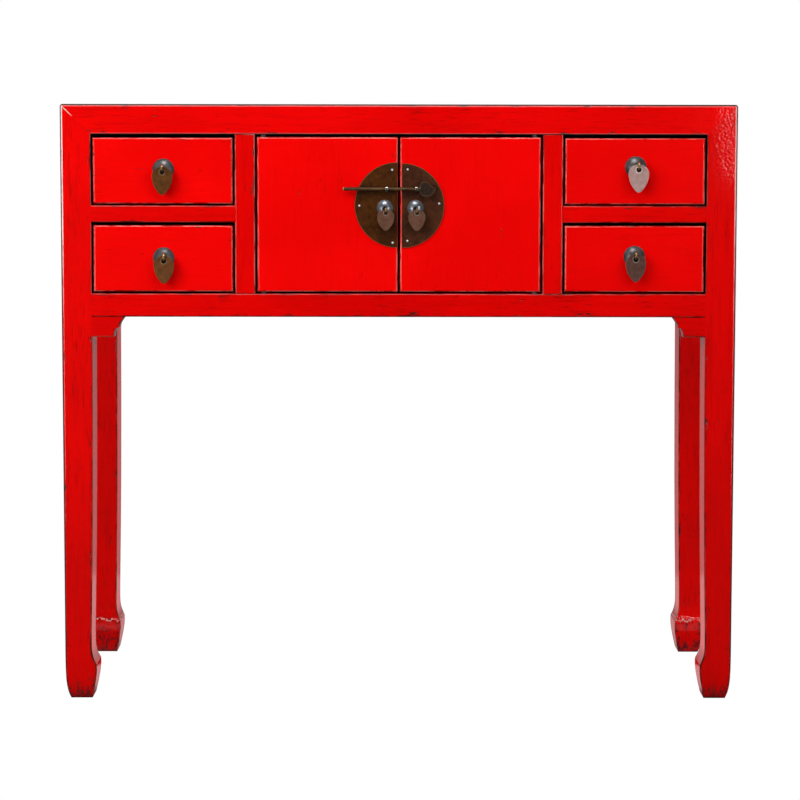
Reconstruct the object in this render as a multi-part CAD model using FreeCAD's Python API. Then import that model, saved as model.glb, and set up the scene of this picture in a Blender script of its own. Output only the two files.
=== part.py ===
import FreeCAD, Part
import math
import os

os.makedirs("parts", exist_ok=True)

V = FreeCAD.Vector

# ---- driving dimensions, mm ------------------------------------------------
WIDTH = 900.0            # over the posts
DEPTH = 394.0            # over the posts
HEIGHT = 800.0           # floor to top
HW = WIDTH / 2
REACH = 15.8             # how far the pulls stand in front of the front plane
Y_SHIFT = -(DEPTH - REACH) / 2   # puts the middle of the bounding box at y = 0

POST_X = 40.5            # post width on the front
POST_Y = 60.0            # post depth on the side
TOP_H = 40.0             # height of the top frame
EDGE_R = 3.5             # rounding of the outer edges
FACE_R = 2.0             # rounding of the edges round the openings

X_POST = HW - POST_X     # inner face of the posts, 409.5
Z_TOP = HEIGHT - TOP_H   # underside of the top frame, 760
STILE_IN = 191.3         # door side of the stiles
STILE_OUT = 218.2        # drawer side of the stiles
Z_BOTTOM = 548.8         # top of the bottom rail
Z_APRON = 517.5          # underside of the bottom rail
Z_MID_LOW = 643.5        # underside of the drawer rail
Z_MID_TOP = 666.0        # top of the drawer rail
RAIL_Y = 36.0            # depth of front rails and stiles

PANEL_T = 8.0            # side and back panels
GROOVE = 6.0             # how deep panels sit in their grooves
SIDE_PANEL_X = 432.0     # inner face of a side panel
BACK_PANEL_Y = DEPTH - 18.0   # front face of the back panel
TOP_PANEL_T = 14.0
BOTTOM_PANEL_T = 12.0
PART_T = 15.0            # partition thickness

BOARD_T = 18.0           # door boards and drawer fronts
BOARD_R = 2.6            # their front edges
DRAWER_X0 = 221.0        # inner edge of a drawer front
DRAWER_X1 = 406.7        # outer edge of a drawer front
UPPER_Z = (668.2, 755.6)
LOWER_Z = (551.4, 639.4)
DRAWER_END = 325.0       # rear of the drawer box
WALL_T = 10.0
DRAWER_BOTTOM_T = 6.0

DOOR_X0 = 1.5            # edge at the middle
DOOR_X1 = 188.5          # hinge edge
DOOR_Z = (551.3, 756.6)
PIVOT_X = 180.5          # hinge axis
PIVOT_Y = 6.5
PIVOT_R = 3.5
PIVOT_CLEAR = 0.06

PLATE_R = 56.4           # round lock plate
PLATE_Z = 666.7
PLATE_T = 1.5
BOLT_Z = 688.2
BOLT_Y = -6.6            # bolt axis in front of the door faces
BOLT_R = 2.3
EYE_X = (-16.2, 23.3)
EYE_IN = 2.75
EYE_OUT = 4.3
EYE_LEN = 4.6

# pull sizes: boss radius, boss height, ring centre (dz from the boss centre, y in front), ring radius, wire radius,
# leaf half width, leaf length, leaf top above ring centre, hole top below ring centre, hole radius, leaf thickness,
# shank radius, width of a flat-banded ring (0: round wire)
DRAWER_PULL = dict(boss_r=14.3, boss_h=6.4, dz=1.7, dy=10.1, R=4.2, r=1.5, half=13.6, length=37.6, top=2.0, hole_top=2.0, hole_r=3.2, t=1.8, shank=1.5, band=3.2)
LOCK_PULL = dict(boss_r=10.8, boss_h=4.8, dz=-3.0, dy=8.2, R=3.05, r=1.25, half=11.3, length=28.4, top=1.15, hole_top=1.2, hole_r=2.3, t=1.6, shank=1.3, band=0)


# ---- helpers -----------------------------------------------------------------
def box(x0, x1, y0, y1, z0, z1):
    return Part.makeBox(x1 - x0, y1 - y0, z1 - z0, V(x0, y0, z0))


def mirror_x(s):
    return s.mirror(V(0, 0, 0), V(1, 0, 0))


def mirror_y(s):
    return s.mirror(V(0, DEPTH / 2, 0), V(0, 1, 0))


def fillet(s, r, test):
    """Round the edges whose bounding box passes the test."""
    edges = [e for e in s.Edges if test(e.BoundBox)]
    return s.makeFillet(r, edges) if edges else s


def flat(points):
    """A face from straight edges through points."""
    return Part.Face(Part.makePolygon(points + [points[0]]))


def pyramid(apex, base):
    faces = [flat(base)]
    for i in range(len(base)):
        faces.append(flat([base[i], base[(i + 1) % len(base)], apex]))
    solid = Part.makeSolid(Part.makeShell(faces))
    if solid.Volume < 0:
        solid.reverse()
    return solid


def cyl_y(x, z, r, y0, y1):
    return Part.makeCylinder(r, y1 - y0, V(x, y0, z), V(0, 1, 0))


def cyl_z(x, y, r, z0, z1):
    return Part.makeCylinder(r, z1 - z0, V(x, y, z0), V(0, 0, 1))


def spline(points, start=None, end=None):
    c = Part.BSplineCurve()
    if start is not None:
        c.interpolate(Points=points, InitialTangent=start, FinalTangent=end)
    else:
        c.interpolate(points)
    return c.toShape()


def fuse(*shapes):
    out = shapes[0]
    for s in shapes[1:]:
        out = out.fuse(s)
    return out.removeSplitter()


def single(s):
    """The one solid of a shape."""
    solids = s.Solids
    assert len(solids) == 1, len(solids)
    return solids[0]


NODES = {}


def node(name, *solids):
    NODES[name] = [single(s) for s in solids]


# ---- outer envelope, its edges rounded -----------------------------------------
envelope = box(-HW, HW, 0, DEPTH, 0, HEIGHT)
envelope = fillet(
    envelope, EDGE_R,
    lambda b: (b.ZLength > 100) or (b.ZMin > HEIGHT - 1),
)

# ---- legs ----------------------------------------------------------------------
# inner edge of a leg against height, as the distance it lies outside the post's inner face (negative: the hoof)
INNER = [(-1.5, 45.6), (0.8, 50.6), (3.0, 56.5), (4.4, 63.5), (4.9, 75.0), (4.6, 98.0), (3.8, 140.0), (2.6, 202.0), (1.0, 337.0), (0.4, 420.0), (0.0, 510.0)]
# below the hoof's ridge
HOOF = [(-1.5, 45.6), (-1.7, 38.0), (-1.0, 29.0), (0.5, 19.5), (2.6, 9.0), (4.6, 0.0)]
# outer edge of the foot, as the distance from the outer face
FOOT = [(0.0, 62.0), (0.4, 40.0), (1.4, 24.0), (3.6, 10.0), (7.2, 0.0)]


def leg_profile(pt, width):
    """Closed face of a leg in one plane; pt maps (distance from the outer face, z) to a point."""
    outer = [pt(d, z) for d, z in FOOT]
    hoof = [pt(width - d, z) for d, z in HOOF]
    inner = [pt(width - d, z) for d, z in INNER]
    edges = [
        Part.makeLine(pt(0, Z_TOP), outer[0]),
        spline(outer),
        Part.makeLine(outer[-1], hoof[-1]),
        spline(hoof[::-1]),
        spline(inner),
        Part.makeLine(inner[-1], pt(width, Z_TOP)),
        Part.makeLine(pt(width, Z_TOP), pt(0, Z_TOP)),
    ]
    return Part.Face(Part.Wire(edges))


front = leg_profile(lambda d, z: V(HW - d, -1, z), POST_X).extrude(V(0, POST_Y + 12, 0))
side = leg_profile(lambda d, z: V(X_POST - 12, d, z), POST_Y).extrude(V(POST_X + 24, 0, 0))
leg = single(front.common(side).removeSplitter())
corner = V(HW, 0, HEIGHT)
post_tip = pyramid(corner, [V(X_POST, 0, Z_TOP), V(HW, 0, Z_TOP), V(HW, POST_Y, Z_TOP), V(X_POST, POST_Y, Z_TOP)])
leg = single(fuse(leg, post_tip).common(envelope))

# ---- top frame -------------------------------------------------------------------
rail = box(-X_POST, X_POST, 0, POST_Y, Z_TOP, HEIGHT)
rail = fillet(rail, FACE_R, lambda b: b.XLength > 500 and b.YMax < 0.1 and b.ZMax < Z_TOP + 0.1)
end = pyramid(corner, [V(X_POST, 0, Z_TOP), V(X_POST, POST_Y, Z_TOP), V(X_POST, POST_Y, HEIGHT), V(X_POST, 0, HEIGHT)])
top_front = single(fuse(rail, end, mirror_x(end)).common(envelope))
top_rear = mirror_y(top_front)
rail = box(X_POST, HW, POST_Y, DEPTH - POST_Y, Z_TOP, HEIGHT)
end = pyramid(corner, [V(X_POST, POST_Y, Z_TOP), V(HW, POST_Y, Z_TOP), V(HW, POST_Y, HEIGHT), V(X_POST, POST_Y, HEIGHT)])
top_side = single(fuse(rail, end, mirror_y(end)).common(envelope))

top_panel = fuse(
    box(-X_POST, X_POST, POST_Y, DEPTH - POST_Y, HEIGHT - TOP_PANEL_T, HEIGHT),
    box(-X_POST - GROOVE, X_POST + GROOVE, POST_Y - GROOVE, DEPTH - POST_Y + GROOVE, HEIGHT - TOP_PANEL_T, HEIGHT - TOP_PANEL_T + 6),
)

# ---- lower frame -------------------------------------------------------------------
TENON = 24.0
bottom_front = box(-X_POST, X_POST, 0, RAIL_Y, Z_APRON, Z_BOTTOM)
bottom_front = fillet(
    bottom_front, FACE_R,
    lambda b: b.XLength > 500 and b.YMax < 0.1,
)
tenon = box(X_POST, X_POST + TENON, 12, 24, Z_APRON + 5, Z_BOTTOM - 5)
bottom_front = fuse(bottom_front, tenon, mirror_x(tenon))
bottom_rear = box(-X_POST, X_POST, DEPTH - RAIL_Y, DEPTH - 3, Z_APRON, Z_BOTTOM)
tenon = box(X_POST, X_POST + TENON, DEPTH - 24, DEPTH - 12, Z_APRON + 5, Z_BOTTOM - 5)
bottom_rear = fuse(bottom_rear, tenon, mirror_x(tenon))
bottom_side = box(HW - 36, HW - 3, POST_Y, DEPTH - POST_Y, Z_APRON, Z_BOTTOM)
tenon = box(HW - 14, HW - 5, POST_Y - 16, POST_Y, Z_APRON + 5, Z_BOTTOM - 5)
bottom_side = fuse(bottom_side, tenon, mirror_y(tenon))

bottom_panel = fuse(
    box(-X_POST, X_POST, RAIL_Y, DEPTH - RAIL_Y, Z_BOTTOM - BOTTOM_PANEL_T, Z_BOTTOM),
    box(-HW + 36, HW - 36, POST_Y, DEPTH - POST_Y, Z_BOTTOM - BOTTOM_PANEL_T, Z_BOTTOM),
    box(-X_POST, X_POST, RAIL_Y - GROOVE, DEPTH - RAIL_Y + GROOVE, Z_BOTTOM - BOTTOM_PANEL_T, Z_BOTTOM - BOTTOM_PANEL_T + 6),
)

# ---- panels in their grooves ---------------------------------------------------------
side_panel = box(SIDE_PANEL_X, SIDE_PANEL_X + PANEL_T, POST_Y - GROOVE, DEPTH - POST_Y + GROOVE, Z_BOTTOM - GROOVE, Z_TOP + GROOVE)
back_panel = box(-X_POST - GROOVE, X_POST + GROOVE, BACK_PANEL_Y, BACK_PANEL_Y + PANEL_T, Z_BOTTOM - GROOVE, Z_TOP + GROOVE)

# ---- front uprights and drawer rails ---------------------------------------------------
stile = box(STILE_IN, STILE_OUT, 0, RAIL_Y, Z_BOTTOM, Z_TOP)
stile = fillet(stile, FACE_R, lambda b: b.ZLength > 100 and b.YMax < 0.1)
stub = box(STILE_IN + 6, STILE_OUT - 6, 14, 24, Z_TOP, Z_TOP + 16)
foot_stub = box(STILE_IN + 6, STILE_OUT - 6, 14, 24, Z_BOTTOM - 14, Z_BOTTOM)
stile = fuse(stile, stub, foot_stub)
mid = box(STILE_OUT, X_POST, 0, RAIL_Y, Z_MID_LOW, Z_MID_TOP)
mid = fillet(mid, FACE_R, lambda b: b.XLength > 100 and b.YMax < 0.1)
mid = fuse(
    mid,
    box(X_POST, X_POST + TENON, 12, 24, Z_MID_LOW + 4, Z_MID_TOP - 4),
    box(STILE_OUT - 10, STILE_OUT, 12, 24, Z_MID_LOW + 4, Z_MID_TOP - 4),
)
partition = fuse(
    box(STILE_OUT - PART_T, STILE_OUT, RAIL_Y, BACK_PANEL_Y, Z_BOTTOM, Z_TOP),
    box(STILE_OUT - PART_T, STILE_OUT, POST_Y, DEPTH - POST_Y, Z_TOP, HEIGHT - TOP_PANEL_T),
)

# ---- spandrel brackets -------------------------------------------------------------------
zb = 490.8
a = [V(365.6, 0, Z_APRON), V(368.6, 0, 513.6), V(371.6, 0, 509.0), V(373.0, 0, 503.6)]
b = [V(376.6, 0, 502.4), V(378.6, 0, 499.0), V(379.7, 0, 495.0), V(380.3, 0, zb)]
outline = Part.Wire([
    Part.makeLine(V(X_POST, 0, Z_APRON), a[0]),
    spline(a),
    Part.makeLine(a[-1], b[0]),
    spline(b),
    Part.makeLine(b[-1], V(X_POST, 0, zb)),
    Part.makeLine(V(X_POST, 0, zb), V(X_POST, 0, Z_APRON)),
])
bracket = Part.Face(outline).extrude(V(0, 26, 0))
if bracket.Volume < 0:
    bracket.reverse()
# the leg is already a little narrower at the bracket's foot, so the bracket runs into it squarely
filler = box(X_POST - 2, X_POST + 3, 0, 26, zb, Z_APRON)
bracket = single(fuse(bracket, filler).cut(leg))

# ---- runners and guides ----------------------------------------------------------------------
runner_inner = box(STILE_OUT, STILE_OUT + 20, RAIL_Y, BACK_PANEL_Y, Z_MID_TOP - 18, Z_MID_TOP)
runner_outer = fuse(
    box(X_POST - 16, X_POST, RAIL_Y, BACK_PANEL_Y, Z_MID_TOP - 18, Z_MID_TOP),
    box(X_POST, SIDE_PANEL_X, POST_Y, DEPTH - POST_Y, Z_MID_TOP - 18, Z_MID_TOP),
)
guide_upper = box(X_POST, SIDE_PANEL_X, POST_Y, DEPTH - POST_Y, Z_MID_TOP, Z_MID_TOP + 24)
guide_lower = box(X_POST, SIDE_PANEL_X, POST_Y, DEPTH - POST_Y, Z_BOTTOM, Z_BOTTOM + 24)

# ---- pivot sockets in the rails ---------------------------------------------------------------
for sx in (1, -1):
    top_front = top_front.cut(cyl_z(sx * PIVOT_X, PIVOT_Y, PIVOT_R + PIVOT_CLEAR, Z_TOP - 1, Z_TOP + 11))
    bottom_front = bottom_front.cut(cyl_z(sx * PIVOT_X, PIVOT_Y, PIVOT_R + PIVOT_CLEAR, Z_BOTTOM - 11, Z_BOTTOM + 1))

# ---- grooves and mortises cut by what sits in them ----------------------------------------------
def cut_all(s, *tools):
    for t in tools:
        s = s.cut(t)
    return s


side_panel_l = mirror_x(side_panel)
top_front = cut_all(top_front, top_panel, stile, mirror_x(stile))
top_rear = cut_all(top_rear, top_panel, back_panel)
top_side = cut_all(top_side, top_panel, side_panel)
bottom_front = cut_all(bottom_front, bottom_panel, stile, mirror_x(stile))
bottom_rear = cut_all(bottom_rear, bottom_panel, back_panel)
bottom_side = cut_all(bottom_side, bottom_panel, side_panel)
stile = stile.cut(mid)
bottom_panel = cut_all(bottom_panel, side_panel, side_panel_l)
leg_fr = cut_all(leg, bottom_front, bottom_side, mid, side_panel)
leg_rr = cut_all(mirror_y(leg), bottom_rear, bottom_side, back_panel, side_panel)
side_panel = cut_all(side_panel, leg_fr, leg_rr)

node("leg_front_right", leg_fr)
node("leg_front_left", mirror_x(leg_fr))
node("leg_rear_right", leg_rr)
node("leg_rear_left", mirror_x(leg_rr))
node("top_rail_front", top_front)
node("top_rail_rear", top_rear)
node("top_rails_side", mirror_x(top_side), top_side)
node("top_panel", top_panel)
node("bottom_rail_front", bottom_front)
node("bottom_rail_rear", bottom_rear)
node("bottom_rails_side", mirror_x(bottom_side), bottom_side)
node("brackets", mirror_x(bracket), bracket)
node("stiles", mirror_x(stile), stile)
node("drawer_rails", mirror_x(mid), mid)
node("partitions", mirror_x(partition), partition)
node("side_panels", mirror_x(side_panel), side_panel)
node("back_panel", back_panel)
node("bottom_panel", bottom_panel)
runners = [runner_inner, runner_outer, guide_upper, guide_lower]
node("drawer_runners", *([mirror_x(s) for s in runners] + runners))


# ---- pulls ------------------------------------------------------------------------------------
def leaf_solid(p):
    """A leaf in the plane y = 0, the ring's centre at the origin."""
    h, top, low = p["half"], p["top"], p["top"] - p["length"]
    right = [
        V(0, 0, top), V(h * 0.42, 0, top - p["length"] * 0.035), V(h * 0.80, 0, top - p["length"] * 0.14),
        V(h * 0.975, 0, top - p["length"] * 0.27), V(h * 0.985, 0, top - p["length"] * 0.40), V(h * 0.87, 0, top - p["length"] * 0.60),
        V(h * 0.60, 0, top - p["length"] * 0.80), V(h * 0.26, 0, top - p["length"] * 0.955), V(0, 0, low),
    ]
    left = [V(-q.x, 0, q.z) for q in right]
    c1 = Part.BSplineCurve()
    c1.interpolate(Points=right, InitialTangent=V(1, 0, 0), FinalTangent=V(-1, 0, -0.45))
    c2 = Part.BSplineCurve()
    c2.interpolate(Points=left, InitialTangent=V(-1, 0, 0), FinalTangent=V(1, 0, -0.45))
    face = Part.Face(Part.Wire([c1.toShape(), c2.toShape()]))
    s = face.extrude(V(0, p["t"], 0))
    if s.Volume < 0:
        s.reverse()
    s.translate(V(0, -p["t"] / 2, 0))
    rim = [e for e in s.Edges if e.BoundBox.YLength < 0.05 and e.BoundBox.ZLength > 5]
    s = s.makeFillet(0.4 * p["t"], rim)
    z = -p["hole_top"] - p["hole_r"]
    return single(s.cut(cyl_y(0, z, p["hole_r"], -5, 5)))


def pull(p, x, z, dx, y_face, y_rear):
    """Boss, pin and leaf of one pull. dx: how far the ring leans sideways; y_face: what the boss lies on; y_rear: back of the board."""
    h, r = p["boss_h"], p["boss_r"]
    R = (r * r + h * h) / (2 * h)
    ball = Part.makeSphere(R, V(x, y_face - h + R, z))
    boss = ball.common(box(x - r - 1, x + r + 1, y_face - h - 1, y_face - 0.6, z - r - 1, z + r + 1))
    rim = cyl_y(x, z, r, y_face - 0.6, y_face)
    boss = fuse(boss, rim)
    yc, zc = y_face - p["dy"], z + p["dz"]
    w = p["band"]
    if w:
        ring = Part.makeCylinder(p["R"] + p["r"], w, V(x + dx - w / 2, yc, zc), V(1, 0, 0))
        ring = fillet(ring, 1.0, lambda b: b.XLength < 0.05)
        ring = ring.cut(Part.makeCylinder(p["R"] - p["r"], w + 2, V(x + dx - w / 2 - 1, yc, zc), V(1, 0, 0)))
    else:
        ring = Part.makeTorus(p["R"], p["r"], V(x + dx, yc, zc), V(1, 0, 0))
    # the neck runs from the shank inside the boss to the rear of the ring
    root = V(x, y_face - h + 3.0, z)
    lean = V(x + dx, yc + p["R"], zc) - root
    neck = Part.makeCylinder(p["r"] * 0.93, lean.Length, root, lean)
    shank = cyl_y(x, z, p["shank"], root.y, y_rear + 2.4)
    legs = box(x - 7, x + 7, y_rear, y_rear + 1.6, z - 1.2, z + 1.2)
    pin = single(fuse(shank, Part.makeSphere(p["shank"], root), neck, ring, legs))
    boss = single(boss.cut(pin))
    leaf = leaf_solid(p)
    leaf.translate(V(x + dx, yc, zc))
    return boss, pin, leaf


# ---- drawers --------------------------------------------------------------------------------------
def drawer(name, sx, zz, run_z, pull_x, pull_z, pull_dx):
    z0, z1 = zz
    fr = box(DRAWER_X0, DRAWER_X1, 0, BOARD_T, z0, z1)
    fr = fillet(fr, BOARD_R, lambda b: b.YMax < 0.1)
    wall_top = z1 - 8
    side_a = box(DRAWER_X0, DRAWER_X0 + WALL_T, BOARD_T, DRAWER_END, run_z, wall_top)
    side_b = box(DRAWER_X1 - WALL_T, DRAWER_X1, BOARD_T, DRAWER_END, run_z, wall_top)
    zf = run_z + 7
    back = box(DRAWER_X0 + WALL_T, DRAWER_X1 - WALL_T, DRAWER_END - WALL_T, DRAWER_END, zf + DRAWER_BOTTOM_T, wall_top - 6)
    floor = box(DRAWER_X0 + WALL_T - 5, DRAWER_X1 - WALL_T + 5, BOARD_T - 6, DRAWER_END, zf, zf + DRAWER_BOTTOM_T)
    fr, side_a, side_b = fr.cut(floor), side_a.cut(floor), side_b.cut(floor)
    parts = [fr, side_a, side_b, back, floor]
    if sx < 0:
        parts = [mirror_x(s) for s in parts]
    fr, side_a, side_b, back, floor = parts
    boss, pin, leaf = pull(DRAWER_PULL, pull_x, pull_z, pull_dx, 0.0, BOARD_T)
    fr = fr.cut(pin)
    node(name + "_front", fr)
    node(name + "_walls", side_a, side_b, back)
    node(name + "_bottom", floor)
    node(name + "_boss", boss)
    node(name + "_pin", pin)
    node(name + "_leaf", leaf)


drawer("drawer_upper_left", -1, UPPER_Z, Z_MID_TOP, -313.0, 713.7, -0.8)
drawer("drawer_upper_right", 1, UPPER_Z, Z_MID_TOP, 314.5, 717.6, 3.4)
drawer("drawer_lower_left", -1, LOWER_Z, Z_BOTTOM, -313.2, 596.0, 0.9)
drawer("drawer_lower_right", 1, LOWER_Z, Z_BOTTOM, 313.7, 598.8, 1.3)


# ---- doors, lock plate and bolt -------------------------------------------------------------------
def eye_solid(x, y_rear):
    ring = Part.makeCylinder(EYE_OUT, EYE_LEN, V(x - EYE_LEN / 2, BOLT_Y, BOLT_Z), V(1, 0, 0))
    ring = fillet(ring, 1.0, lambda b: b.XLength < 0.05)
    shank = cyl_y(x, BOLT_Z, 1.5, BOLT_Y + 3.4, y_rear + 2.4)
    legs = box(x - 7, x + 7, y_rear, y_rear + 1.6, BOLT_Z - 1.2, BOLT_Z + 1.2)
    hole = Part.makeCylinder(EYE_IN, EYE_LEN + 4, V(x - EYE_LEN / 2 - 2, BOLT_Y, BOLT_Z), V(1, 0, 0))
    return single(fuse(ring, shank, legs).cut(hole))


def nail_solid(x, z):
    head = Part.makeSphere(1.8, V(x, -PLATE_T + 0.75, z)).common(box(x - 4, x + 4, -PLATE_T - 3, -PLATE_T, z - 4, z + 4))
    return single(fuse(head, cyl_y(x, z, 0.8, -PLATE_T - 0.6, 10)))


def door(name, sx, plate_x, plate_cx, plate_cz, plate_r, nails, eye_x, pull_x, pull_z, pull_dx):
    panel = box(DOOR_X0, DOOR_X1, 0, BOARD_T, *DOOR_Z)
    panel = fillet(panel, BOARD_R, lambda b: b.YMax < 0.1)
    pins = [
        cyl_z(PIVOT_X, PIVOT_Y, PIVOT_R, DOOR_Z[1] - 16, Z_TOP + 10),
        cyl_z(PIVOT_X, PIVOT_Y, PIVOT_R, Z_BOTTOM - 10, DOOR_Z[0] + 16),
    ]
    panel = cut_all(panel, *pins)
    if sx < 0:
        panel, pins = mirror_x(panel), [mirror_x(s) for s in pins]
    plate = cyl_y(plate_cx, plate_cz, plate_r, -PLATE_T, 0)
    keep = box(plate_x, 100, -5, 5, 500, 800) if sx > 0 else box(-100, plate_x, -5, 5, 500, 800)
    plate = plate.common(keep)
    nail = [nail_solid(x, z) for x, z in nails]
    eye = eye_solid(eye_x, BOARD_T)
    boss, pin, leaf = pull(LOCK_PULL, pull_x, pull_z, pull_dx, -PLATE_T, BOARD_T)
    plate = cut_all(plate, eye, pin, *nail)
    panel = cut_all(panel, eye, pin, *nail)
    node(name + "_panel", panel)
    node(name + "_pivots", *pins)
    node(name + "_plate", plate)
    node(name + "_nails", *nail)
    node(name + "_eye", eye)
    node(name + "_boss", boss)
    node(name + "_pin", pin)
    node(name + "_leaf", leaf)


door("door_left", -1, -2.1, -2.3, 666.8, PLATE_R, [(-9.1, 713.3), (-52.6, 666.0), (-8.4, 616.8)], EYE_X[0], -18.7, 663.1, 1.3)
door("door_right", 1, 4.2, 4.2, 666.0, 56.0, [(11.5, 714.1), (53.4, 668.9), (11.2, 619.4)], EYE_X[1], 22.0, 662.9, 2.0)

# bolt: rod and flat head in one piece
HEAD_X = EYE_X[1] + EYE_LEN / 2 + 0.7
rod = Part.makeCylinder(BOLT_R, HEAD_X + 3 + 74.2, V(-74.2, BOLT_Y, BOLT_Z), V(1, 0, 0))
rod = fillet(rod, 0.6, lambda b: b.XLength < 0.05 and b.XMax < 0)
head_points = [
    V(HEAD_X, 0, 0.0), V(HEAD_X + 1.2, 0, 5.6), V(HEAD_X + 4.6, 0, 9.2), V(HEAD_X + 9.0, 0, 10.0), V(HEAD_X + 13.6, 0, 7.6),
    V(HEAD_X + 17.2, 0, 3.7), V(HEAD_X + 22.2, 0, 1.6),
]
low_points = [
    V(HEAD_X + 22.2, 0, 1.6), V(HEAD_X + 21.6, 0, -2.6), V(HEAD_X + 18.4, 0, -6.8), V(HEAD_X + 14.0, 0, -9.6), V(HEAD_X + 9.0, 0, -10.2), V(HEAD_X + 4.2, 0, -8.6), V(HEAD_X + 1.0, 0, -4.8), V(HEAD_X, 0, 0.0),
]
head = Part.Face(Part.Wire([spline(head_points), spline(low_points)])).extrude(V(0, 2.2, 0))
if head.Volume < 0:
    head.reverse()
# a sunk field inside a raised rim, and a small hole beside the tail
mid_x = HEAD_X + 10.4
shrink = lambda q: V(mid_x + (q.x - mid_x) * 0.84, 0, q.z * 0.84)
field = Part.Face(Part.Wire([spline([shrink(q) for q in head_points]), spline([shrink(q) for q in low_points])])).extrude(V(0, 1.0, 0))
if field.Volume < 0:
    field.reverse()
field.translate(V(0, -0.6, 0))
head = head.cut(field).cut(cyl_y(HEAD_X + 17.8, -0.9, 0.9, -1, 4))
head.translate(V(0, BOLT_Y - 1.1, BOLT_Z))
node("bolt", fuse(rod, head))

# ---- export -----------------------------------------------------------------------------------------
for name, solids in sorted(NODES.items()):
    for s in solids:
        assert s.isValid(), name
    shape = solids[0] if len(solids) == 1 else Part.makeCompound(solids)
    shape = shape.copy()
    shape.translate(V(0, Y_SHIFT, 0))
    shape.exportStep("parts/" + name + ".step")
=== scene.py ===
import math

import bpy
from mathutils import Matrix, Vector


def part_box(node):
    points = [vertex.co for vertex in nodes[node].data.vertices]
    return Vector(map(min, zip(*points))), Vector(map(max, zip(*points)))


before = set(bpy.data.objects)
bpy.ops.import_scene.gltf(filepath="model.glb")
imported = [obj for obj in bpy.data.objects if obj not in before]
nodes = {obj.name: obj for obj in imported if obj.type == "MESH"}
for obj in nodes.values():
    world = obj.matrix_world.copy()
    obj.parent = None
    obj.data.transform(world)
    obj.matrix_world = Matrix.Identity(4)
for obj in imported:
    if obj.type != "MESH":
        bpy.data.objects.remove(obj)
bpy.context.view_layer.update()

scene = bpy.context.scene

# ---- measures of the cabinet, metres --------------------------------------------
HW = 0.450            # half width over the posts
Y_FRONT = -0.1891     # front plane
Y_BACK = 0.2049       # rear plane
POST_Y = 0.060        # depth of the posts
HEIGHT = 0.800
X_POST = 0.4095       # inner face of the posts
Z_TOP = 0.760         # underside of the top frame
Z_BOTTOM = 0.5488     # top of the bottom rail
Z_APRON = 0.5175      # underside of the bottom rail


# ---- node helpers ---------------------------------------------------------------
def material(name):
    m = bpy.data.materials.new(name)
    m.use_nodes = True
    m.node_tree.nodes.clear()
    return m, m.node_tree


def put(nt, kind, ins=None, **props):
    n = nt.nodes.new(kind)
    for k, v in props.items():
        setattr(n, k, v)
    for k, v in (ins or {}).items():
        s = n.inputs[k]
        if isinstance(v, bpy.types.NodeSocket):
            nt.links.new(v, s)
        else:
            s.default_value = v
    return n


def calc(nt, op, a, b=0.0, c=0.0, clamp=False):
    n = put(nt, "ShaderNodeMath", {0: a, 1: b, 2: c}, operation=op)
    n.use_clamp = clamp
    return n.outputs[0]


def vec(nt, op, a, b):
    return put(nt, "ShaderNodeVectorMath", {0: a, 1: b}, operation=op).outputs[0]


def ramp(nt, v, a, b, lo=0.0, hi=1.0):
    n = put(nt, "ShaderNodeMapRange", {"Value": v, "From Min": a, "From Max": b, "To Min": lo, "To Max": hi})
    n.interpolation_type = "SMOOTHSTEP"
    return n.outputs[0]


def line(nt, v, a, b, lo=0.0, hi=1.0):
    return put(nt, "ShaderNodeMapRange", {"Value": v, "From Min": a, "From Max": b, "To Min": lo, "To Max": hi}).outputs[0]


def blend(nt, fac, a, b, mode="MIX"):
    n = put(nt, "ShaderNodeMix", data_type="RGBA", blend_type=mode)
    for i, v in ((0, fac), (6, a), (7, b)):
        if isinstance(v, bpy.types.NodeSocket):
            nt.links.new(v, n.inputs[i])
        elif i == 0:
            n.inputs[i].default_value = v
        else:
            n.inputs[i].default_value = (v[0], v[1], v[2], 1.0)
    return n.outputs[2]


def noise(nt, p, scale, detail=2.0, rough=0.5, distort=0.0):
    n = put(nt, "ShaderNodeTexNoise", {"Vector": p, "Scale": scale, "Detail": detail, "Roughness": rough, "Distortion": distort})
    return n.outputs[0]


def place(nt):
    """Position on the piece, in metres, and its three parts."""
    p = put(nt, "ShaderNodeTexCoord").outputs["Object"]
    s = put(nt, "ShaderNodeSeparateXYZ", {0: p})
    return p, s.outputs[0], s.outputs[1], s.outputs[2]


def shader(nt, color, rough, normal=None, metallic=0.0, specular=0.5):
    b = put(nt, "ShaderNodeBsdfPrincipled")
    for k, v in (("Base Color", color), ("Roughness", rough), ("Normal", normal)):
        if v is None:
            continue
        if isinstance(v, bpy.types.NodeSocket):
            nt.links.new(v, b.inputs[k])
        elif k == "Base Color":
            b.inputs[k].default_value = (v[0], v[1], v[2], 1.0)
        else:
            b.inputs[k].default_value = v
    b.inputs["Metallic"].default_value = metallic
    b.inputs["Specular IOR Level"].default_value = specular
    out = put(nt, "ShaderNodeOutputMaterial")
    nt.links.new(b.outputs[0], out.inputs[0])
    return b


def bump(nt, height, distance, normal=None, strength=1.0):
    n = put(nt, "ShaderNodeBump", {"Height": height, "Distance": distance, "Strength": strength})
    if normal is not None:
        nt.links.new(normal, n.inputs["Normal"])
    return n.outputs[0]


def curve(nt, v, points):
    """A smooth function through points with both coordinates in 0..1."""
    n = put(nt, "ShaderNodeFloatCurve", {"Value": v})
    c = n.mapping.curves[0]
    c.points[0].location = points[0]
    c.points[1].location = points[-1]
    for q in points[1:-1]:
        c.points.new(*q)
    n.mapping.update()
    return n.outputs[0]


def slab(nt, v, lo, hi):
    """Distance inside the pair of planes v = lo and v = hi; either may be a socket."""
    return calc(nt, "MINIMUM", calc(nt, "SUBTRACT", v, lo), calc(nt, "SUBTRACT", hi, v))


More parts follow.
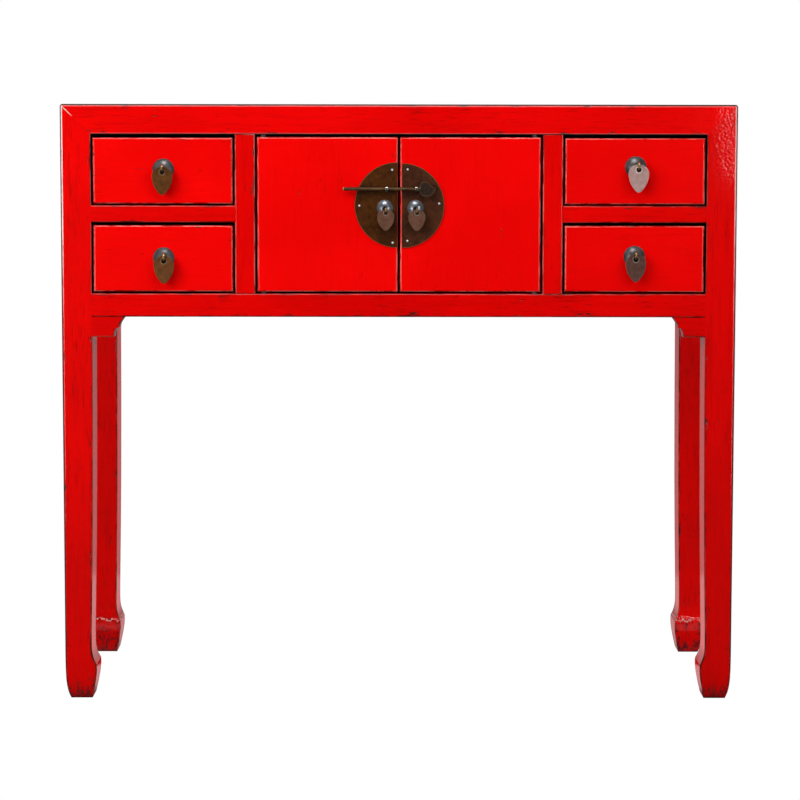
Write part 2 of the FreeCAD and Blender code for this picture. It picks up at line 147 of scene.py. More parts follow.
def middle(nt, a, b, c):
    return calc(nt, "MAXIMUM", calc(nt, "MINIMUM", a, b), calc(nt, "MINIMUM", calc(nt, "MAXIMUM", a, b), c))


# ---- red lacquer ------------------------------------------------------------------
RED = (0.60, 0.0012, 0.0010)
RED_DEEP = (0.53, 0.0008, 0.0006)
RED_STREAK = (0.40, 0.0012, 0.0010)
RED_DARK = (0.15, 0.003, 0.002)
UNDER = (0.016, 0.007, 0.004)
PRIMER = (0.56, 0.24, 0.20)
SCUFF = (0.085, 0.010, 0.010)
GAP_SHADE = (0.006, 0.0035, 0.0025)
SEED = [0]


def lacquer(name, grain, edge, depth=None, seam=None, foot=False, wear=1.0, pale=0.15, specks=0.7, seam_gain=0.4, tone=1.0, streak=0.7, outline="", bright_edge=0.0, pebble=0.0, hoof=0.0, back=None):
    """Red lacquer over a dark undercoat. grain: axis of the brush strokes. edge: makes the distance to the nearest
    long edge. depth: makes a 0..1 mask of hidden faces, which are painted near black as painted shade of the gaps.
    seam: makes the distance to a joint line.
    tone: brightness of the red, set per piece and partly a painted light and shade that falls differently on the
    pieces. streak: strength of the brush strokes. outline: axes along which the rounded outer edges are rubbed dark.
    bright_edge: strength of the pale line inside that, which is a painted highlight. pebble: height of the pebbled
    coat at the right end, metres.
    hoof: wear along the ridge of the foot, and the strength of a pale broken line on it that is a painted highlight.
    back: y of the rear face where that is plain wood."""
    SEED[0] += 1
    k = SEED[0]
    m, nt = material(name)
    p, x, y, z = place(nt)
    shift = (k * 0.731 % 3.0, k * 1.317 % 3.0, k * 0.477 % 3.0)
    q = vec(nt, "ADD", p, shift)
    along = [1.0, 1.0, 1.0]
    along["XYZ".index(grain)] = 0.075
    g = vec(nt, "MULTIPLY", q, tuple(along))
    along["XYZ".index(grain)] = 0.22
    g2 = vec(nt, "MULTIPLY", q, tuple(along))
    cloud = noise(nt, q, 7.0, 3.0, 0.55)
    stroke = noise(nt, g, 150.0, 4.0, 0.6)
    fine = noise(nt, g, 520.0, 2.0, 0.5)
    dots = noise(nt, g2, 210.0, 3.0, 0.6)
    patch = noise(nt, q, 16.0, 2.0, 0.5)
    # colour of the sound lacquer
    shade = lambda c: tuple(v * tone for v in c)
    col = blend(nt, ramp(nt, cloud, 0.30, 0.72), shade(RED), shade(RED_DEEP))
    col = blend(nt, ramp(nt, stroke, 0.46, 0.80, 0.0, streak), col, shade(RED_STREAK))
    col = blend(nt, ramp(nt, calc(nt, "ADD", fine, calc(nt, "MULTIPLY", patch, 0.45)), 0.80, 1.00, 0.0, 0.6 * streak), col, RED_DARK)
    # the outer side faces are painted darker: painted shade
    turned = put(nt, "ShaderNodeSeparateXYZ", {0: put(nt, "ShaderNodeTexCoord").outputs["Normal"]}).outputs[0]
    outer_side_shade = ramp(nt, calc(nt, "MULTIPLY", turned, x), 0.24, 0.36)
    col = blend(nt, outer_side_shade, col, (0.66, 0.66, 0.66), "MULTIPLY")
    if foot:
        # the legs are painted darker towards the floor: painted shade of the light's fall-off
        col = blend(nt, line(nt, z, 0.10, 0.78, 0.22, 0.0), col, RED_DARK)
        # the inner faces are painted a brighter red: painted light
        inner_face_light = calc(nt, "MULTIPLY", ramp(nt, calc(nt, "ABSOLUTE", turned), 0.6, 0.9, 0.0, 0.8), ramp(nt, calc(nt, "ABSOLUTE", x), HW - 0.028, HW - 0.020, 1.0, 0.0))
        col = blend(nt, inner_face_light, col, (0.93, 0.0022, 0.0018))
        # the slope above the hoof is painted darker: painted shade
        hoof_slope_shade = calc(nt, "MULTIPLY", ramp(nt, z, 0.042, 0.047), ramp(nt, z, 0.056, 0.070, 0.62, 0.0))
        hoof_slope_shade = calc(nt, "MULTIPLY", hoof_slope_shade, ramp(nt, calc(nt, "ABSOLUTE", turned), 0.30, 0.55))
        col = blend(nt, calc(nt, "MULTIPLY", hoof_slope_shade, ramp(nt, calc(nt, "ABSOLUTE", x), HW - 0.028, HW - 0.020, 1.0, 0.0)), col, RED_DARK)
    # distance to the edges, made uneven
    e = calc(nt, "MULTIPLY", edge(nt, x, y, z), 1000.0)
    rag = noise(nt, g2, 330.0, 4.0, 0.65)
    rag2 = noise(nt, q, 34.0, 2.0, 0.5)
    uneven = calc(nt, "ADD", calc(nt, "MULTIPLY", calc(nt, "SUBTRACT", rag, 0.5), 2.2), calc(nt, "MULTIPLY", calc(nt, "SUBTRACT", rag2, 0.5), 2.6))
    ew = calc(nt, "ADD", e, uneven)
    near = ramp(nt, e, 1.5, 9.0, 1.0, 0.0)
    # specks and short dashes where the coat has broken, more of them near the edges
    level = calc(nt, "SUBTRACT", calc(nt, "ADD", dots, calc(nt, "MULTIPLY", near, 0.10 * wear)), calc(nt, "MULTIPLY", calc(nt, "SUBTRACT", 0.62, patch), 0.30))
    t = 0.74 - 0.07 * specks
    speck = ramp(nt, level, t, t + 0.06, 0.0, 0.85)
    col = blend(nt, ramp(nt, level, t - 0.06, t + 0.01, 0.0, 0.35), col, RED_DARK)
    col = blend(nt, speck, col, UNDER)
    worn = ramp(nt, ew, 0.05, 1.3 * wear, 0.94, 0.0)
    col = blend(nt, ramp(nt, ew, 0.6, 2.6 * wear, 0.45, 0.0), col, RED_DARK)
    col = blend(nt, worn, col, UNDER)
    if pale:
        # pale primer rubbed through along the edges, partly also a painted highlight of the edge lines
        rub_and_edge_highlight = calc(nt, "MULTIPLY", ramp(nt, e, 0.5, 1.7, 1.0, 0.0), ramp(nt, calc(nt, "ADD", rag, calc(nt, "MULTIPLY", rag2, 0.8)), 0.80, 0.98, 0.0, pale))
        col = blend(nt, rub_and_edge_highlight, col, PRIMER)
    lose = calc(nt, "MAXIMUM", worn, speck)
    if seam is not None:
        d = calc(nt, "MULTIPLY", seam(nt, x, y, z), 1000.0)
        cut = calc(nt, "MULTIPLY", ramp(nt, d, 0.2, 0.8, 1.0, 0.0), ramp(nt, rag2, 0.46, 0.66, 0.12 * seam_gain, 0.9 * seam_gain))
        col = blend(nt, ramp(nt, d, 0.5, 2.4, 0.3 * seam_gain, 0.0), col, RED_DARK)
        col = blend(nt, cut, col, blend(nt, ramp(nt, patch, 0.50, 0.62), UNDER, PRIMER))
        lose = calc(nt, "MAXIMUM", lose, cut)
        if bright_edge:
            tip = calc(nt, "MULTIPLY", ramp(nt, z, HEIGHT - 0.017, HEIGHT - 0.012), ramp(nt, x, -0.3, -0.2, 1.0, 0.0))
            col = blend(nt, calc(nt, "MULTIPLY", ramp(nt, d, 0.3, 0.9, 0.9, 0.0), tip), col, (0.66, 0.42, 0.34))
    if outline:
        n = put(nt, "ShaderNodeSeparateXYZ", {0: put(nt, "ShaderNodeTexCoord").outputs["Normal"]})
        out = calc(nt, "MAXIMUM", *[calc(nt, "ABSOLUTE", n.outputs["XYZ".index(a)]) for a in (outline + outline[0])[:2]])
        edge_y = calc(nt, "MINIMUM", calc(nt, "SUBTRACT", y, Y_FRONT), calc(nt, "SUBTRACT", Y_BACK, y))
        front_y = ramp(nt, edge_y, 0.0036, 0.0052, 1.0, 0.0)
        ragged = calc(nt, "ADD", out, calc(nt, "MULTIPLY", calc(nt, "SUBTRACT", rag, 0.5), 0.22))
        if bright_edge:
            # a pale line on the rounded edge, strongest high up: a painted highlight
            painted_edge_highlight = calc(nt, "MULTIPLY", calc(nt, "MULTIPLY", ramp(nt, ragged, 0.0, 0.12), ramp(nt, out, 0.01, 0.06)), front_y)
            painted_edge_highlight = calc(nt, "MULTIPLY", painted_edge_highlight, ramp(nt, calc(nt, "ADD", z, calc(nt, "MULTIPLY", rag2, 0.22)), 0.60, 0.80, 0.0, bright_edge))
            col = blend(nt, painted_edge_highlight, col, (0.80, 0.52, 0.50))
        rim = calc(nt, "MULTIPLY", ramp(nt, ragged, 0.40, 0.54), calc(nt, "MULTIPLY", front_y, 0.95))
        col = blend(nt, rim, col, UNDER)
    if foot:
        zz = calc(nt, "MULTIPLY", z, 1000.0)
        sc = vec(nt, "MULTIPLY", q, (1.0, 1.0, 0.35))
        s1 = noise(nt, sc, 150.0, 4.0, 0.65)
        s2 = noise(nt, sc, 480.0, 3.0, 0.6)
        low = ramp(nt, zz, 2.0, 34.0, 1.0, 0.0)
        hurt = calc(nt, "ADD", calc(nt, "MULTIPLY", s1, 0.5), calc(nt, "MULTIPLY", s2, 0.5))
        scuff = ramp(nt, calc(nt, "ADD", hurt, calc(nt, "MULTIPLY", low, 0.13)), 0.565, 0.675, 0.0, 0.82)
        scuff = calc(nt, "MULTIPLY", scuff, ramp(nt, zz, 16.0, 62.0, 1.0, 0.0))
        col = blend(nt, scuff, col, SCUFF)
        col = blend(nt, calc(nt, "MULTIPLY", ramp(nt, zz, 1.0, 22.0, 0.5, 0.0), ramp(nt, s2, 0.46, 0.66)), col, (0.12, 0.014, 0.018))
        col = blend(nt, ramp(nt, calc(nt, "ADD", zz, calc(nt, "MULTIPLY", s1, 3.0)), 1.6, 3.6, 0.9, 0.0), col, UNDER)
        lose = calc(nt, "MAXIMUM", lose, scuff)
        # broken dark line of wear along the ridge of the hoof, with a broken pale line on it that is a painted
        # highlight
        if hoof:
            ridge = calc(nt, "ADD", calc(nt, "SUBTRACT", zz, 48.5), calc(nt, "MULTIPLY", calc(nt, "SUBTRACT", s1, 0.5), 22.0))
            ridge = calc(nt, "ABSOLUTE", ridge)
            chips = calc(nt, "MULTIPLY", ramp(nt, hurt, 0.505, 0.575, 0.0, 0.72 * hoof), ramp(nt, zz, 40.0, 47.0, 1.0, 0.0))
            col = blend(nt, chips, col, (0.10, 0.006, 0.009))
            col = blend(nt, calc(nt, "MULTIPLY", ramp(nt, ridge, 2.0, 8.0, 1.0, 0.0), ramp(nt, s2, 0.47, 0.60, 0.0, 0.6 * hoof)), col, UNDER)
            # the pale broken line is a painted highlight
            col = blend(nt, calc(nt, "MULTIPLY", ramp(nt, ridge, 0.5, 1.5, 1.0, 0.0), ramp(nt, s2, 0.44, 0.54, 0.0, 0.85 * hoof)), col, (0.66, 0.38, 0.35))
    if depth is not None:
        # hidden faces painted near black with a faint brown streak: painted shade of the gaps
        gap_shade = depth(nt, x, y, z)
        col = blend(nt, gap_shade, col, blend(nt, ramp(nt, stroke, 0.45, 0.75), GAP_SHADE, (0.022, 0.010, 0.006)))
        lose = calc(nt, "MAXIMUM", lose, gap_shade)
        if back is not None:
            plain = blend(nt, ramp(nt, stroke, 0.34, 0.68), (0.23, 0.13, 0.066), (0.105, 0.055, 0.027))
            plain = blend(nt, ramp(nt, fine, 0.60, 0.72, 0.0, 0.6), plain, (0.045, 0.022, 0.011))
            col = blend(nt, ramp(nt, y, back - 0.0010, back - 0.0004), col, plain)
            lose = calc(nt, "MAXIMUM", lose, ramp(nt, y, back - 0.0010, back - 0.0004))
    # gloss and surface
    peel = noise(nt, q, 170.0, 2.0, 0.45)
    swell = noise(nt, q, 26.0, 1.0, 0.5)
    skin = noise(nt, q, 520.0, 2.0, 0.5)
    r = calc(nt, "ADD", calc(nt, "MULTIPLY", cloud, 0.08), 0.07)
    r = calc(nt, "ADD", r, calc(nt, "MULTIPLY", lose, 0.14))
    if outline:
        r = calc(nt, "ADD", r, calc(nt, "MULTIPLY", rim, 0.70))
    if pebble:
        coarse = calc(nt, "MULTIPLY", ramp(nt, x, 0.410, 0.438), ramp(nt, z, 0.665, 0.745))
        r = calc(nt, "ADD", r, calc(nt, "MULTIPLY", coarse, 0.13))
    nrm = bump(nt, swell, 0.0004)
    nrm = bump(nt, peel, 0.00022, nrm)
    nrm = bump(nt, skin, 0.00006 if not pebble else 0.00002, nrm)
    nrm = bump(nt, stroke, 0.00012, nrm)
    if pebble:
        grains = calc(nt, "MULTIPLY", noise(nt, q, 265.0, 0.0, 0.5), coarse)
        nrm = bump(nt, grains, pebble, nrm)
    nrm = bump(nt, calc(nt, "SUBTRACT", 1.0, lose), 0.00015, nrm)
    shader(nt, col, r, nrm)
    return m


FAR = 9.0


def boxed(lo, hi, mirror=False, skip=""):
    """Distance to the edges of a board with corners lo and hi; the axes in skip have no edge of their own."""
    def f(nt, x, y, z):
        if mirror:
            x = calc(nt, "ABSOLUTE", x)
        d = []
        for i, v in enumerate((x, y, z)):
            d.append(FAR if "XYZ"[i] in skip else slab(nt, v, lo[i], hi[i]))
        return middle(nt, *d)
    return f


def of_box(name, mirror=False, skip=""):
    lo, hi = (Vector(v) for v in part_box(name))
    if mirror:
        lo, hi = lo.copy(), hi.copy()
        xs = sorted(abs(v.co.x) for v in nodes[name].data.vertices)
        lo.x, hi.x = xs[0], xs[-1]
    return boxed(lo, hi, mirror, skip)


def inside_opening(start=0.0030, end=0.0048):
    """Faces inside the openings of the front, a few millimetres behind the front plane; the lacquer paints them near
    black as painted shade.
    """
    def f(nt, x, y, z):
        deep = ramp(nt, y, Y_FRONT + start, Y_FRONT + end)
        ax = calc(nt, "ABSOLUTE", x)
        here = calc(nt, "MULTIPLY", ramp(nt, ax, X_POST + 0.0004, X_POST + 0.0010, 1.0, 0.0), ramp(nt, z, Z_BOTTOM - 0.0012, Z_BOTTOM - 0.0006))
        here = calc(nt, "MULTIPLY", here, ramp(nt, z, Z_TOP + 0.0006, Z_TOP + 0.0012, 1.0, 0.0))
        return calc(nt, "MULTIPLY", deep, here)
    return f


def behind(start=0.0030, end=0.0048):
    """Everything deeper than the rounded front edge; the lacquer paints it near black as painted shade."""
    return lambda nt, x, y, z: ramp(nt, y, Y_FRONT + start, Y_FRONT + end)


# inner and outer outline of a leg against height: distance from the outer face, metres
LEG_IN = [(0.0, 0.0359), (0.009, 0.0379), (0.0195, 0.0400), (0.029, 0.0415), (0.038, 0.0422), (0.0456, 0.0420), (0.0506, 0.0397), (0.0565, 0.0375), (0.0635, 0.0361), (0.075, 0.0356), (0.098, 0.0359), (0.140, 0.0367), (0.202, 0.0379), (0.337, 0.0395), (0.51, 0.0405), (0.80, 0.0405)]
LEG_OUT = [(0.0, 0.0072), (0.010, 0.0036), (0.024, 0.0014), (0.040, 0.0004), (0.062, 0.0), (0.80, 0.0)]


def window(nt, z, lo, hi):
    """1 between two heights, else 0."""
    return calc(nt, "MULTIPLY", ramp(nt, z, lo - 0.001, lo), ramp(nt, z, hi, hi + 0.001, 1.0, 0.0))


def leg_edges(front):
    def f(nt, x, y, z):
        h = calc(nt, "DIVIDE", z, 0.8)
        inner = calc(nt, "MULTIPLY", curve(nt, h, [(a / 0.8, b / 0.05) for a, b in LEG_IN]), 0.05)
        outer = calc(nt, "MULTIPLY", curve(nt, h, [(a / 0.8, b / 0.05) for a, b in LEG_OUT]), 0.05)
        ax = calc(nt, "SUBTRACT", HW, calc(nt, "ABSOLUTE", x))
        ay = calc(nt, "SUBTRACT", y, Y_FRONT) if front else calc(nt, "SUBTRACT", Y_BACK, y)
        into = calc(nt, "SUBTRACT", inner, ax)
        if front:
            # no bare edge where the rails and brackets meet the post
            joined = calc(nt, "ADD", window(nt, z, 0.4908, Z_BOTTOM), calc(nt, "ADD", window(nt, z, 0.6435, 0.666), window(nt, z, Z_TOP, HEIGHT)))
            into = calc(nt, "ADD", into, calc(nt, "MULTIPLY", joined, 0.02))
        dx = calc(nt, "MINIMUM", calc(nt, "SUBTRACT", ax, outer), into)
        dy = slab(nt, ay, outer, calc(nt, "ADD", inner, POST_Y - 0.0405))
        return middle(nt, dx, dy, calc(nt, "ADD", z, 0.0005))
    return f


def mitre(front):
    """Joint planes between a post and the top frame, and between two top rails."""
    def f(nt, x, y, z):
        ax = calc(nt, "SUBTRACT", HW, calc(nt, "ABSOLUTE", x))
        az = calc(nt, "SUBTRACT", HEIGHT, z)
        ay = calc(nt, "SUBTRACT", y, Y_FRONT) if front else calc(nt, "SUBTRACT", Y_BACK, y)
        a = calc(nt, "DIVIDE", ax, 0.0405)
        b = calc(nt, "DIVIDE", ay, POST_Y)
        c = calc(nt, "DIVIDE", az, 0.040)
        d1 = calc(nt, "ABSOLUTE", calc(nt, "SUBTRACT", a, c))
        d2 = calc(nt, "ABSOLUTE", calc(nt, "SUBTRACT", b, c))
        d3 = calc(nt, "ABSOLUTE", calc(nt, "SUBTRACT", a, b))
        low = calc(nt, "MINIMUM", d1, calc(nt, "MINIMUM", d2, d3))
        return calc(nt, "MULTIPLY", low, 0.029)
    return f


# inner outline of a bracket against height
BRACKET = [(0.4908, 0.3803), (0.4950, 0.3797), (0.4990, 0.3786), (0.5024, 0.3766), (0.5036, 0.3730), (0.5090, 0.3716), (0.5136, 0.3686), (0.5175, 0.3656)]


def bracket_edges(nt, x, y, z):
    ax = calc(nt, "ABSOLUTE", x)
    h = calc(nt, "DIVIDE", calc(nt, "SUBTRACT", z, 0.4908), 0.0267)
    out = calc(nt, "ADD", calc(nt, "MULTIPLY", curve(nt, h, [((a - 0.4908) / 0.0267, (b - 0.360) / 0.025) for a, b in BRACKET]), 0.025), 0.360)
    near = calc(nt, "MINIMUM", calc(nt, "SUBTRACT", ax, out), calc(nt, "SUBTRACT", z, 0.4908))
    return calc(nt, "MAXIMUM", near, slab(nt, y, Y_FRONT, Y_FRONT + 0.026))


def bracket_seam(nt, x, y, z):
    return calc(nt, "SUBTRACT", Z_APRON, z)


def stile_edges(nt, x, y, z):
    ax = calc(nt, "ABSOLUTE", x)
    into = calc(nt, "ADD", calc(nt, "SUBTRACT", 0.2182, ax), calc(nt, "MULTIPLY", window(nt, z, 0.6435, 0.666), 0.02))
    dx = calc(nt, "MINIMUM", calc(nt, "SUBTRACT", ax, 0.1913), into)
    return calc(nt, "MAXIMUM", dx, slab(nt, y, Y_FRONT, Y_FRONT + 0.036))


def stile_seam(nt, x, y, z):
    return slab(nt, z, Z_BOTTOM, Z_TOP)


# ---- bare wood of the hidden boards ------------------------------------------------------
def bare_wood(name, grain, light, dark):
    SEED[0] += 1
    k = SEED[0]
    m, nt = material(name)
    p, x, y, z = place(nt)
    q = vec(nt, "ADD", p, (k * 0.613 % 2.0, k * 0.917 % 2.0, k * 0.377 % 2.0))
    s = [1.0, 1.0, 1.0]
    s["XYZ".index(grain)] = 0.06
    g = vec(nt, "MULTIPLY", q, tuple(s))
    warp = noise(nt, g, 14.0, 2.0, 0.5)
    rings = calc(nt, "FRACT", calc(nt, "MULTIPLY", warp, 11.0))
    rings = calc(nt, "ABSOLUTE", calc(nt, "SUBTRACT", rings, 0.5))
    fibre = noise(nt, g, 420.0, 4.0, 0.6)
    pores = noise(nt, g, 900.0, 2.0, 0.5)
    stain = noise(nt, q, 9.0, 3.0, 0.5)
    col = blend(nt, calc(nt, "MULTIPLY", rings, 1.7, clamp=True), dark, light)
    col = blend(nt, ramp(nt, fibre, 0.35, 0.75, 0.0, 0.65), col, dark)
    col = blend(nt, ramp(nt, pores, 0.62, 0.72, 0.0, 0.7), col, tuple(c * 0.3 for c in dark))
    col = blend(nt, ramp(nt, stain, 0.45, 0.75, 0.0, 0.5), col, tuple(c * 0.55 for c in dark))
    r = line(nt, fibre, 0.3, 0.7, 0.5, 0.72)
    nrm = bump(nt, fibre, 0.0003)
    nrm = bump(nt, pores, 0.0001, nrm)
    shader(nt, col, r, nrm, specular=0.3)
    return m


# ---- metals --------------------------------------------------------------------------------
def bronze_plate(name, edge, warm, deep, rim):
    SEED[0] += 1
    m, nt = material(name)
    p, x, y, z = place(nt)
    q = vec(nt, "ADD", p, (SEED[0] * 0.31 % 1.0, 0.2, SEED[0] * 0.17 % 1.0))
    cloud = noise(nt, q, 55.0, 4.0, 0.6)
    grit = noise(nt, q, 900.0, 3.0, 0.6)
    hair = noise(nt, vec(nt, "MULTIPLY", q, (0.12, 1.0, 1.0)), 1500.0, 2.0, 0.5)
    col = blend(nt, ramp(nt, cloud, 0.32, 0.68), warm, deep)
    col = blend(nt, ramp(nt, noise(nt, q, 130.0, 3.0, 0.6), 0.50, 0.66, 0.0, 0.6), col, tuple(c * 0.6 for c in deep))
    col = blend(nt, ramp(nt, noise(nt, q, 240.0, 3.0, 0.6), 0.54, 0.70, 0.0, 0.5), col, tuple(c * 1.5 for c in warm))
    col = blend(nt, ramp(nt, hair, 0.55, 0.8, 0.0, 0.25), col, tuple(c * 1.7 for c in warm))
    e = calc(nt, "MULTIPLY", edge(nt, x, y, z), 1000.0)
    col = blend(nt, ramp(nt, calc(nt, "ADD", e, calc(nt, "MULTIPLY", calc(nt, "SUBTRACT", cloud, 0.5), 1.0)), 0.30, 1.1, 0.8, 0.0), col, rim)
    col = blend(nt, ramp(nt, grit, 0.62, 0.74, 0.0, 0.4), col, (0.014, 0.006, 0.003))
    r = line(nt, cloud, 0.3, 0.7, 0.42, 0.58)
    nrm = bump(nt, cloud, 0.0005)
    nrm = bump(nt, grit, 0.00006, nrm)
    shader(nt, col, r, nrm, metallic=0.0, specular=0.10)
    return m


def metal(name, base, dark, light, rough=(0.32, 0.5), metallic=0.5, axis=None, extra=None, specular=0.5):
    """Mottled metal; extra changes the colour further."""
    SEED[0] += 1
    m, nt = material(name)
    p, x, y, z = place(nt)
    q = vec(nt, "ADD", p, (SEED[0] * 0.23 % 1.0, 0.1, SEED[0] * 0.41 % 1.0))
    g = q
    if axis:
        k = [1.0, 1.0, 1.0]
        k["XYZ".index(axis)] = 0.1
        g = vec(nt, "MULTIPLY", q, tuple(k))
    cloud = noise(nt, q, 120.0, 4.0, 0.6)
    grit = noise(nt, q, 800.0, 3.0, 0.65)
    hair = noise(nt, g, 1300.0, 2.0, 0.5)
    col = blend(nt, ramp(nt, cloud, 0.34, 0.66), base, dark)
    col = blend(nt, ramp(nt, hair, 0.5, 0.75, 0.0, 0.4), col, light)
    col = blend(nt, ramp(nt, grit, 0.60, 0.72, 0.0, 0.5), col, dark)
    if extra is not None:
        col = extra(nt, col, x, y, z, grit)
    r = line(nt, grit, 0.3, 0.7, rough[0], rough[1])
    nrm = bump(nt, cloud, 0.0002)
    nrm = bump(nt, grit, 0.00006, nrm)
    shader(nt, col, r, nrm, metallic=metallic, specular=specular)
    return m


def leaf(name, node, base, dark, light, rim, drop, hole):
    """A leaf with a lighter rim, also round its hole, whose wall is painted near black as painted shade. drop: from
    the leaf's top to the hole's centre.
    """
    lo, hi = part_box(node)
    cx, cz = (lo[0] + hi[0]) / 2, hi[2] - drop

    def extra(nt, col, x, y, z, grit):
        n = put(nt, "ShaderNodeSeparateXYZ", {0: put(nt, "ShaderNodeTexCoord").outputs["Normal"]}).outputs[1]
        edge = ramp(nt, calc(nt, "ABSOLUTE", n), 0.97, 0.70, 0.0, 0.85)
        dx = calc(nt, "SUBTRACT", x, cx)
        dz = calc(nt, "SUBTRACT", z, cz)
        rr = calc(nt, "SQRT", calc(nt, "ADD", calc(nt, "MULTIPLY", dx, dx), calc(nt, "MULTIPLY", dz, dz)))
        ring = ramp(nt, calc(nt, "SUBTRACT", rr, hole), 0.0009, 0.0016, 1.0, 0.0)
        # the wall of the hole is painted near black: painted shade
        inside = ramp(nt, calc(nt, "SUBTRACT", rr, hole), 0.0003, 0.0007, 1.0, 0.0)
        col = blend(nt, edge, col, rim)
        col = blend(nt, ring, col, tuple(min(0.9, c * 1.7) for c in rim))
        return blend(nt, inside, col, (0.01, 0.006, 0.004))
    return metal(name, base, dark, light, rough=(0.42, 0.58), metallic=0.0, extra=extra, specular=0.15)


# ---- which finish goes where ------------------------------------------------------------------
def give(name, mat):
    o = nodes[name]
    o.data.materials.clear()
    o.data.materials.append(mat)
    for poly in o.data.polygons:
        poly.material_index = 0


for side in ("left", "right"):
    # the left and right legs get different tones: partly painted light and shade
    give("leg_front_" + side, lacquer("leg_front_" + side, "Z", leg_edges(True), depth=inside_opening(), seam=mitre(True), foot=True, seam_gain=0.12, wear=1.2, tone=1.22 if side == "left" else 1.12, outline="X", bright_edge=0.95 if side == "left" else 0.6, pebble=0.0 if side == "left" else 0.0007))
    give("leg_rear_" + side, lacquer("leg_rear_" + side, "Z", leg_edges(False), seam=mitre(False), foot=True, hoof=1.0, tone=1.16 if side == "left" else 1.46, outline="X"))
give("top_rail_front", lacquer("top_rail_front", "X", boxed((-FAR, Y_FRONT, Z_TOP), (FAR, Y_FRONT + POST_Y, HEIGHT), skip="X"), depth=inside_opening(), seam=mitre(True), seam_gain=0.12, wear=1.1, tone=1.18, outline="Z", bright_edge=0.12, pebble=0.0007))
give("top_rail_rear", lacquer("top_rail_rear", "X", boxed((-FAR, Y_BACK - POST_Y, Z_TOP), (FAR, Y_BACK, HEIGHT), skip="X"), seam=mitre(False), tone=1.1, outline="Z"))
give("top_rails_side", lacquer("top_rails_side", "Y", boxed((X_POST, -FAR, Z_TOP), (HW, FAR, HEIGHT), mirror=True, skip="Y"), tone=1.1))
give("top_panel", lacquer("top_panel", "X", boxed((-X_POST, Y_FRONT + POST_Y, -FAR), (X_POST, Y_BACK - POST_Y, HEIGHT)), pale=0.0))
give("bottom_rail_front", lacquer("bottom_rail_front", "X", boxed((-FAR, Y_FRONT, Z_APRON), (FAR, Y_FRONT + 0.036, Z_BOTTOM), skip="X"), depth=inside_opening(), wear=1.1, tone=1.10))
give("bottom_rail_rear", lacquer("bottom_rail_rear", "X", of_box("bottom_rail_rear", skip="X")))
give("bottom_rails_side", lacquer("bottom_rails_side", "Y", boxed((HW - 0.036, -FAR, Z_APRON), (HW - 0.003, FAR, Z_BOTTOM), mirror=True, skip="Y")))
give("brackets", lacquer("brackets", "X", bracket_edges, seam=bracket_seam, wear=1.3, pale=0.1, seam_gain=1.0, tone=1.05))
give("stiles", lacquer("stiles", "Z", stile_edges, depth=inside_opening(), seam=stile_seam, seam_gain=0.8, wear=1.1, pale=0.5, tone=1.14))
give("drawer_rails", lacquer("drawer_rails", "X", boxed((-FAR, Y_FRONT, 0.6435), (FAR, Y_FRONT + 0.036, 0.666), mirror=True, skip="X"), depth=inside_opening(), wear=1.1, tone=1.14))
give("side_panels", lacquer("side_panels", "Y", boxed((0.432, -FAR, Z_BOTTOM), (0.440, FAR, Z_TOP), mirror=True, skip="YX"), pale=0.0))
for v in ("upper", "lower"):
    for h in ("left", "right"):
        d = "drawer_" + v + "_" + h
        # the left and right drawer fronts get different tones: partly painted light
        give(d + "_front", lacquer(d + "_front", "X", of_box(d + "_front"), depth=behind(), back=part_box(d + "_front")[1][1], wear=0.8, pale=0.9, specks=0.25, streak=0.18, tone=1.30 if h == "left" else 1.22))
for h in ("left", "right"):
    give("door_" + h + "_panel", lacquer("door_" + h + "_panel", "Z", of_box("door_" + h + "_panel"), depth=behind(), back=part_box("door_" + h + "_panel")[1][1], wear=0.8, pale=0.9, specks=0.2, streak=0.15, tone=1.32))

wood_x = bare_wood("bare_wood_x", "X", (0.26, 0.15, 0.075), (0.12, 0.062, 0.030))
wood_y = bare_wood("bare_wood_y", "Y", (0.27, 0.16, 0.080), (0.13, 0.068, 0.032))
wood_back = bare_wood("bare_wood_back", "X", (0.15, 0.080, 0.042), (0.070, 0.034, 0.018))
give("back_panel", wood_back)
give("bottom_panel", wood_x)
give("partitions", wood_y)
give("drawer_runners", wood_y)


def plate_edge(side):
    """Distance to the rim of a half plate."""
    cx, cz, r, edge = (-0.0023, 0.6668, 0.0564, -0.0021) if side == "left" else (0.0042, 0.6660, 0.0560, 0.0042)
    def f(nt, x, y, z):
        dx = calc(nt, "SUBTRACT", x, cx)
        dz = calc(nt, "SUBTRACT", z, cz)
        rr = calc(nt, "SQRT", calc(nt, "ADD", calc(nt, "MULTIPLY", dx, dx), calc(nt, "MULTIPLY", dz, dz)))
        return calc(nt, "SUBTRACT", r, rr)
    return f




def pin_hole_shade(node, radius, drop):
    """Dark ring on a boss where the pin comes through: painted shade standing for the pin's hole and the shadow round
    it. drop: how far the ring's middle lies below the boss's.
    """
    lo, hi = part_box(node)
    cx, cz = (lo[0] + hi[0]) / 2, (lo[2] + hi[2]) / 2 - drop

    def extra(nt, col, x, y, z, grit):
        dx = calc(nt, "SUBTRACT", x, cx)
        dz = calc(nt, "SUBTRACT", z, cz)
        rr = calc(nt, "SQRT", calc(nt, "ADD", calc(nt, "MULTIPLY", dx, dx), calc(nt, "MULTIPLY", dz, dz)))
        rr = calc(nt, "ADD", rr, calc(nt, "MULTIPLY", calc(nt, "SUBTRACT", grit, 0.5), 0.0012))
        return blend(nt, ramp(nt, rr, radius * 0.85, radius * 1.15, 0.95, 0.0), col, (0.008, 0.006, 0.005))
    return extra


